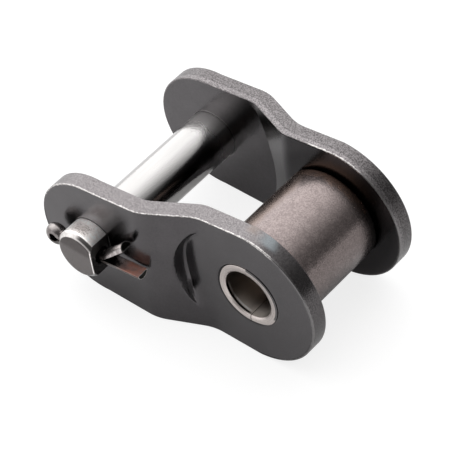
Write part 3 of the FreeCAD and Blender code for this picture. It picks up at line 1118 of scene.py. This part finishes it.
@dataclass(frozen=True)
class Blackened:
    """Dark satin oxide on a side plate, with paler granular blanked edges.

    Places across the rim are told by the plate's ribbon mark, and places along it by x. The
    rim is worn bright at worn_edge from worn_from to worn_to, a line laid on the upper side
    only and so partly a painted highlight, and it is sheared past sheared_from. Along the
    lower side the edge carries painted shade.
    """

    name: str
    worn_edge: float
    worn_from: float
    worn_to: float
    sheared_from: float
    polished: float = 0.0
    shaded_end: float = 0.0
    face: Colour = (0.083, 0.078, 0.081)
    rim_low: Colour = (0.102, 0.094, 0.096)
    rim_high: Colour = (0.186, 0.174, 0.176)
    # Worn bright edge colour, which also serves as a painted highlight.
    burnish_and_highlight: Colour = (0.6, 0.575, 0.565)
    soft_edge: Colour = (0.22, 0.213, 0.213)
    blue_patch: Colour = (0.19, 0.21, 0.222)
    brown_patch: Colour = (0.21, 0.17, 0.15)
    # Painted shade along the lower edge.
    lower_edge_shade: Colour = (0.02, 0.018, 0.018)
    bush_shadow: Span = (9.0, 7.0)
    smooth_along: Span = (1.2, 2.9)
    shaded_along: Span = (3.4, 5.2)
    blue_along: Spot = (2.4, 1.3, 0.2)
    blue_across: Span = (0.7, 1.3)
    brown_along: Spot = (0.3, 1.2, 0.3)
    brown_across: Span = (0.8, 1.5)
    thick_along: Spot = (2.4, 1.7, 1.1)
    lower_edge_shade_across: Band = (-0.24, -0.1, 0.3, 0.4)
    upper_side: Span = (-1.5, 0.0)

    def material(self) -> bpy.types.Material:
        """Build the finish.

        Returns:
            The material.
        """
        shader, thickness = Shader.new(self.name), SIZES.plate_thickness
        ribbon = shader.mark("ribbon")
        along, _, height = shader.millimetres()
        fine, grit, cloud = shader.grain(5200.0), shader.grain(6500.0), shader.grain(350.0)
        jag = shader.grain(3000.0, 2.0) - 0.5
        ragged = ribbon + 0.2 * jag
        drift = along + 2.0 * (cloud - 0.5)
        on_rim = ragged.between(-0.06, 0.02, thickness, thickness + 0.06)
        smooth = drift.ramp(*self.smooth_along) * self.polished

        shadow = shader.radius(along, height).ramp(*self.bush_shadow)
        shadow = shadow * ribbon.ramp(thickness + 0.05, thickness + 0.2)
        tone = (0.62 + 0.46 * fine + 0.3 * cloud) * (1 - 0.45 * shadow)
        face = shader.scaled(self.face, tone)

        seam = self.sheared_from
        sheared = ragged.ramp(seam - 0.08, seam + 0.08) - 0.6 * ragged.near(seam, 0.12, 0.05)
        tone = (1 - 0.56 * smooth) * (1 - self.shaded_end * along.ramp(*self.shaded_along))
        rim = shader.mix(grit.ramp(0.32, 0.68), self.rim_low, self.rim_high)
        rim = shader.scaled(rim, (0.86 + 0.34 * sheared) * tone)
        blue = drift.near(*self.blue_along) * (ribbon + 0.5 * cloud).ramp(*self.blue_across)
        brown = drift.near(*self.brown_along) * ribbon.ramp(*self.brown_across)
        rim = shader.layered(
            rim, (0.8 * self.polished * blue, self.blue_patch),
            (0.5 * self.polished * brown, self.brown_patch),
        )

        thick = along.near(*self.thick_along) * self.polished
        to_edge = (ribbon - self.worn_edge + 0.3 * jag).size() * (1 - 0.35 * thick)
        worn_off = along.ramp(self.worn_to - 0.2, self.worn_to + 0.2)
        worn = along.ramp(self.worn_from - 0.6, self.worn_from + 0.2) * (1 - worn_off)
        upper = height.ramp(*self.upper_side)
        # The worn bright edge line lies on the upper side only, so it is partly a painted
        # highlight.
        line = to_edge.ramp(0.14, 0.06) * worn * upper * (0.25 + 0.75 * grit.ramp(0.3, 0.6))
        border = to_edge.ramp(0.24, 0.08) * worn_off
        # Painted shade along the lower edge, where the painted highlight is left out.
        under = ribbon.between(*self.lower_edge_shade_across) * (1 - upper) * (1 - border)
        return shader.finish(
            Base_Color=shader.layered(
                shader.mix(on_rim, face, rim), (0.6 * border, self.soft_edge),
                (0.8 * under, self.lower_edge_shade), (line, self.burnish_and_highlight),
            ),
            Metallic=1.0,
            Roughness=0.17 + 0.07 * fine + on_rim * (0.15 - 0.12 * smooth),
            Normal=shader.bump(0.25 * fine + on_rim * grit * (1 - 0.7 * smooth), 0.03),
        )


@dataclass(frozen=True)
class TumbledRoller:
    """Warm grey hardened steel, finely speckled from tumbling and browned at its ends, with painted
    shade low down and on the lower part of its ends, and a painted dark reflection along its upper
    left.
    """

    name: str = "tumbled_roller_steel"
    low: Colour = (0.17, 0.141, 0.137)
    high: Colour = (0.26, 0.218, 0.211)
    browned: Colour = (0.31, 0.195, 0.145)
    # Colour of the painted dark reflection band along the upper left.
    reflected_band: Colour = (0.165, 0.112, 0.088)
    # Painted shade on the lower part of the ends.
    painted_shade: Colour = (0.022, 0.019, 0.018)
    brown_ends: Span = (4.6, 5.8)
    brown_height: Span = (2.8, 4.6)
    shaded_height: Span = (3.1, 2.3)
    reflected_band_edge: Span = (4.8, 5.5)
    reflected_band_direction: Span = (-0.77, 0.64)

    def material(self) -> bpy.types.Material:
        """Build the finish.

        Returns:
            The material.
        """
        shader = Shader.new(self.name)
        across, level, height = shader.millimetres()
        speckle, mottle = shader.grain(6500.0, 2.0), shader.grain(1500.0)
        uneven = mottle - 0.5
        steel = shader.mix((0.7 * speckle + 0.3 * mottle).ramp(0.36, 0.64), self.low, self.high)
        steel = shader.scaled(steel, 1 - 0.3 * height.ramp(*self.shaded_height))
        # Painted reflection: a darker, browner band along the roller's upper left side.
        towards_reflected_band = self.reflected_band_direction[0] * across + self.reflected_band_direction[1] * height
        reflected_band = (towards_reflected_band + 0.5 * uneven).ramp(*self.reflected_band_edge)
        brown = (level.size() + 1.2 * uneven).ramp(*self.brown_ends)
        # At the ends the upper part is browned and the lower part is painted shade.
        brown_and_shade = (height + 2.0 * uneven).ramp(*self.brown_height)
        brown_and_shade = shader.mix(brown_and_shade, self.painted_shade, self.browned)
        return shader.finish(
            Base_Color=shader.layered(steel, (0.7 * reflected_band, self.reflected_band), (0.9 * brown, brown_and_shade)),
            Metallic=1.0,
            Roughness=0.2 + 0.12 * mottle,
            Normal=shader.bump(speckle, 0.011),
        )


@dataclass(frozen=True)
class CurledBush:
    """Faced ends of pale warm steel with faint turning marks, and a dark bore.

    On its lower left the bore's mouth has a lip with a burr and a painted highlight, beside a
    painted shadow line, and the painted shade in the gap to the plate's seat is wider there.
    On the upper right the plate laps over the ring in a step.
    """

    name: str = "curled_bush_steel"
    ring: Colour = (0.6, 0.545, 0.52)
    ring_shade: Colour = (0.45, 0.4, 0.38)
    bore: Colour = (0.4, 0.36, 0.33)
    # Near black, for the painted shadow line and the painted shade in the gap to the plate.
    gap: Colour = (0.012, 0.011, 0.012)
    # Burr and painted highlight on the lip of the mouth.
    burr_and_highlight: Colour = (0.95, 0.93, 0.92)
    plate: Colour = (0.11, 0.105, 0.106)
    faced_from: Span = (8.2, 8.4)
    lit_height: Span = (-1.6, -2.9)
    lit_depth: Span = (6.0, 8.3)
    mouth_radius: Span = (3.14, 3.08)
    shadow_line_depth: Spot = (8.2, 0.16, 0.08)
    shadow_line_side: Span = (-2.6, -3.4)
    lip_depth: Spot = (7.9, 0.16, 0.06)
    lip_side: Span = (-2.9, -3.6)
    gap_side: Span = (1.0, -2.8)
    gap_radius: Span = (3.93, 3.97)
    step_radius: Span = (3.68, 3.73)
    step_right: Span = (0.35, 0.55)
    step_upper: Span = (0.2, 0.9)

    def material(self) -> bpy.types.Material:
        """Build the finish.

        Returns:
            The material.
        """
        shader = Shader.new(self.name)
        x, y, z = shader.millimetres()
        radius, depth = shader.radius(x, z), y.size()
        rings = {"W": radius, "Scale": 16.0, "Detail": 2.0}
        turning = shader.one("ShaderNodeTexNoise", 0, {"noise_dimensions": "1D"}, rings)
        marks = (0.7 * turning + 0.3 * shader.grain(9000.0, 2.0)).ramp(0.3, 0.7)
        on_end = depth.ramp(*self.faced_from)
        lit = z.ramp(*self.lit_height) * depth.ramp(*self.lit_depth)
        in_mouth = radius.ramp(*self.mouth_radius)
        # Painted shadow: a dark line inside the mouth on its lower left.
        slot = depth.near(*self.shadow_line_depth) * (x + z).ramp(*self.shadow_line_side) * in_mouth
        # Painted highlight: a bright line along the lip inside the mouth on its lower left.
        lip = depth.near(*self.lip_depth) * (x + z).ramp(*self.lip_side) * in_mouth
        step = (x + 0.1 * z).ramp(*self.step_right) * (z + 0.6 * x).ramp(*self.step_upper)
        step = on_end * step * radius.ramp(*self.step_radius)
        # Painted shade: a black band in the gap between the ring and the plate, wider on the lower
        # left.
        gap = (radius + 0.28 * (x + 0.9 * z).ramp(*self.gap_side)).ramp(*self.gap_radius)
        return shader.finish(
            Base_Color=shader.layered(
                shader.scaled(self.bore, 1 + 0.5 * lit),
                (on_end, shader.mix(marks, self.ring_shade, self.ring)),
                (slot, self.gap), (lip, self.burr_and_highlight), (step, self.plate), (gap, self.gap),
            ),
            Metallic=1 - 0.55 * lit * (1 - on_end),
            Roughness=0.22 + 0.12 * turning,
            Normal=shader.bump(turning, 0.01),
        )


@dataclass(frozen=True)
class GroundPin:
    """Ground bright shank with a painted dark reflection stripe and painted light towards its far
    end, a stub with brown flecks, scuffs and a painted highlight on its top, painted shade on its
    flat and on one side of its chamfer, and satin cropped ends.
    """

    name: str = "ground_pin_steel"
    shank: Colour = (0.41, 0.4, 0.395)
    # Scuffs and a painted highlight, for the stub's top and the flat's edge at the tip.
    scuffed_highlight: Colour = (0.95, 0.91, 0.89)
    flecks: Colour = (0.11, 0.058, 0.04)
    end: Colour = (0.13, 0.118, 0.116)
    shaded: Colour = (0.1, 0.094, 0.092)
    painted_light_from: Span = (5.0, 7.5)
    rougher_from: Span = (4.5, 8.0)
    stub_from: Span = (-11.0, -11.2)
    stub_height: Span = (0.4, 1.2)
    flecked_across: Spot = (-0.3, 1.5, 0.6)
    flecked_level: Spot = (-12.5, 0.9, 0.4)
    reflected_stripe_direction: Span = (0.84, 0.54)
    reflected_stripe_edge: Span = (2.8, 2.92)
    reflected_stripe_from: Span = (-8.9, -8.8)
    chamfer_depth: Span = (0.56, 0.44)
    chamfer_shade_depth: Span = (0.12, 0.2)
    chamfer_shade_across: Span = (-0.2, 0.6)

    def material(self) -> bpy.types.Material:
        """Build the finish.

        Returns:
            The material.
        """
        shader = Shader.new(self.name)
        x, level, z = shader.millimetres()
        across = x + SIZES.pitch * math.cos(SIZES.taper)
        height = z + SIZES.pitch * math.sin(SIZES.taper)
        to_flat = across + math.tan(SIZES.taper) * height - SIZES.pin_flat
        depth = level + SIZES.pin_tip
        drawn = shader.grain(900.0, 3.0, (1.0, 0.12, 1.0))
        fine, speck = shader.grain(6500.0, 2.0), shader.grain(3800.0)

        # The shank is painted lighter towards its far end, as painted light.
        tone = 0.85 + 0.3 * drawn + 0.5 * level.ramp(*self.painted_light_from)
        # Painted reflection: a dark stripe along the shank, on its upper side towards the bush.
        reflected_stripe = self.reflected_stripe_direction[0] * across + self.reflected_stripe_direction[1] * height
        reflected_stripe = reflected_stripe.ramp(*self.reflected_stripe_edge) * level.ramp(*self.reflected_stripe_from)
        # The stub's top is scuffed and lighter on its top only, as a painted highlight.
        on_stub = level.ramp(*self.stub_from) * height.ramp(*self.stub_height)
        cluster = across.near(*self.flecked_across) * level.near(*self.flecked_level)
        flecked = on_stub * cluster * (0.25 + 0.75 * shader.grain(8000.0, 1.0).ramp(0.5, 0.62))
        chamfer = depth.ramp(*self.chamfer_depth)
        scuffed_highlight = shader.scaled(self.scuffed_highlight, (0.7 + 0.7 * speck) * (1 - 0.4 * chamfer))
        # Painted shade on the chamfer's side towards the bush, and on the flat.
        chamfer_shade = chamfer * depth.ramp(*self.chamfer_shade_depth) * across.ramp(*self.chamfer_shade_across)
        on_flat = to_flat.ramp(-0.06, -0.02) * level.ramp(-11.0, -11.1)
        at_back = (level - SIZES.pin_back).ramp(-0.06, -0.03)
        on_end = shader.math("MAXIMUM", depth.ramp(0.06, 0.03), at_back)
        # Painted highlight along the flat's edge at the tip.
        flat_edge = depth.ramp(0.1, 0.06) * to_flat.ramp(-0.16, -0.1)
        return shader.finish(
            Base_Color=shader.layered(
                shader.scaled(self.shank, tone * (1 - 0.65 * reflected_stripe)),
                (on_stub, scuffed_highlight),
                (0.9 * flecked, self.flecks),
                (shader.math("MAXIMUM", chamfer_shade, on_flat), self.shaded),
                (on_end, shader.scaled(self.end, 0.75 + 0.5 * fine)),
                (flat_edge, self.scuffed_highlight),
            ),
            Metallic=1.0,
            Roughness=(
                0.07 + 0.07 * drawn + 0.3 * on_stub + 0.3 * on_end
                + 0.2 * level.ramp(*self.rougher_from)
            ),
            Normal=shader.bump(fine + speck * flecked, 0.012),
        )


@dataclass(frozen=True)
class DrawnWire:
    """Half round drawn wire, grey with bright flecks and red at its tip, with painted shade along
    its straight leg, its eye, the root of its bent leg and its underside. Its cropped tips have
    painted shade on their faces and a burr with a painted highlight round their edges.

    Places along it are told by the split pin's marks.
    """

    name: str = "drawn_wire"
    low: Colour = (0.3, 0.27, 0.265)
    high: Colour = (0.6, 0.56, 0.55)
    # Burr and painted highlight round the cropped tips' edges.
    burr_and_highlight: Colour = (0.8, 0.77, 0.75)
    reddish: Colour = (0.38, 0.125, 0.075)
    # Painted shade on the faces of the cropped tips.
    cropped: Colour = (0.02, 0.019, 0.015)
    # Painted shade on the straight leg, the eye, the bent leg's root and the underside.
    painted_shade: Colour = (0.045, 0.038, 0.035)
    red_along: Spot = (1.0, 2.4, 0.6)
    painted_shade_along: tuple[tuple[float, Band], ...] = (
        (1.0, (1.6, 4.4, 12.4, 12.7)), (0.5, (12.4, 12.7, 14.5, 15.5)),
        (1.0, (19.4, 19.8, 21.2, 22.4)),
    )
    shaded_along: Span = (10.0, 9.0)
    shaded_bow: Span = (0.0, 0.07)

    def material(self) -> bpy.types.Material:
        """Build the finish.

        Returns:
            The material.
        """
        shader = Shader.new(self.name)
        along, cropped = shader.mark("along"), shader.mark("cropped")
        fleck, speck = shader.grain(1500.0), shader.grain(3600.0)
        wire = shader.mix((0.75 * fleck + 0.25 * speck).ramp(0.35, 0.65), self.low, self.high)
        red = along.near(*self.red_along) * (0.55 + 0.45 * fleck.ramp(0.36, 0.62))
        # Painted shade along the straight leg, over the eye and at the root of the bent leg.
        painted_shade = sum(share * along.between(*band) for share, band in self.painted_shade_along)
        # Painted shade on the round underside of the straight leg.
        under = shader.mark("bowed").ramp(*self.shaded_bow) * along.ramp(*self.shaded_along)
        return shader.finish(
            Base_Color=shader.layered(
                wire, (0.95 * painted_shade, self.painted_shade), (0.85 * red, self.reddish),
                # Round the cropped tips: a burr and painted highlight at the edge, painted shade on
                # the face.
                (0.9 * under, self.painted_shade), (cropped.ramp(0.0, 0.2), self.burr_and_highlight),
                (cropped.ramp(0.8, 1.0), self.cropped),
            ),
            Metallic=1 - 0.6 * red,
            Roughness=0.2 + 0.1 * fleck + 0.15 * red,
            Normal=shader.bump(fleck, 0.02),
        )


@dataclass
class Studio:
    """A pale floor under soft light that is strong on the left and weak on the right."""

    floor_side: float = 2000.0
    floor_level: float = -8.65
    floor_colour: Colour = (0.85, 0.85, 0.85)
    seen_colour: Colour = (0.25, 0.25, 0.25)
    seen_glow: float = 0.8
    mirrored_glow: float = 0.08
    towards_light: Vector = (-0.8, 0.3, 0.5)
    weak_light: float = 0.22
    strong_light: float = 2.5
    light_edge: Span = (-0.3, 1.1)

    def build(self) -> None:
        """Make the world and the floor."""
        self.world()
        self.floor()

    def world(self) -> None:
        """Light that grows with the share of its direction that points to the bright side."""
        world = bpy.data.worlds.new("surroundings")
        bpy.context.scene.world = world
        shader = Shader(world)
        direction = shader.one("ShaderNodeTexCoord", "Generated", {}, {})
        facing = shader.one(
            "ShaderNodeVectorMath", "Value", {"operation": "DOT_PRODUCT"},
            {0: direction, 1: self.towards_light},
        )
        brighter = self.strong_light - self.weak_light
        light = facing.ramp(*self.light_edge) * brighter + self.weak_light
        seen = shader.one("ShaderNodeLightPath", "Is Camera Ray", {}, {})
        background = shader.tree.nodes["Background"].inputs
        shader.feed(background["Color"], (1.0, 1.0, 1.0))
        shader.feed(background["Strength"], seen + (1 - seen) * light)

    def floor(self) -> None:
        """A flat pale sheet under the link."""
        half, level = self.floor_side / 2 * MM, self.floor_level * MM
        mesh = bpy.data.meshes.new("floor")
        signs = ((-1, -1), (1, -1), (1, 1), (-1, 1))
        corners = [(across * half, along * half, level) for across, along in signs]
        mesh.from_pydata(corners, [], [(0, 1, 2, 3)])
        shader = Shader.new("floor")
        rays = shader.node("ShaderNodeLightPath", {}, {})
        seen, glossy, passed = (
            Signal(shader, rays.outputs[f"Is {kind} Ray"])
            for kind in ("Camera", "Glossy", "Transmission")
        )
        glow = self.seen_glow * seen + self.mirrored_glow * (glossy + passed)
        mesh.materials.append(shader.finish(
            Base_Color=shader.mix(seen, self.floor_colour, self.seen_colour),
            Roughness=0.9,
            Specular_IOR_Level=0.0,
            Emission_Color=shader.scaled((1.0, 1.0, 1.0), glow),
            Emission_Strength=1.0,
        ))
        linked("floor", mesh)


@dataclass
class Viewpoint:
    """The camera, at the photograph's viewing angle."""

    place: Vector = (109.707, -125.434, 178.481)
    angles: Vector = (43.5668, 4.1626, 39.3511)
    focal_length: float = 185.65

    def build(self) -> None:
        """Make the camera and give it to the scene."""
        lens = bpy.data.cameras.new("camera")
        lens.lens = self.focal_length
        camera = linked("camera", lens)
        camera.location = [value * MM for value in self.place]
        camera.rotation_euler = [math.radians(angle) for angle in self.angles]
        bpy.context.scene.camera = camera


def main() -> None:
    """Build the scene and report each piece."""
    bpy.context.scene.view_settings.view_transform = "Standard"
    Viewpoint().build()
    Studio().build()
    near = Blackened(
        "cotter_plate_oxide", worn_edge=0.06, worn_from=-25.4, worn_to=3.7, sheared_from=0.0,
        polished=1.0,
    )
    far = Blackened(
        "head_plate_oxide", worn_edge=2.04, worn_from=-3.0, worn_to=3.7, sheared_from=1.4,
        shaded_end=0.35, rim_low=(0.076, 0.07, 0.071), rim_high=(0.218, 0.203, 0.206),
    )
    pieces = [
        Plate("cotter_side_plate", Side.COTTER).build(near.material()),
        Plate("head_side_plate", Side.HEAD).build(far.material()),
        Bush().build(CurledBush().material()),
        Roller().build(TumbledRoller().material()),
        Pin().build(GroundPin().material()),
        SplitPin().build(DrawnWire().material()),
    ]
    for piece in pieces:
        LOG.info("%s: %d points", piece.name, len(piece.data.vertices))


if __name__ == "__main__":
    logging.basicConfig(level=logging.INFO)
    main()
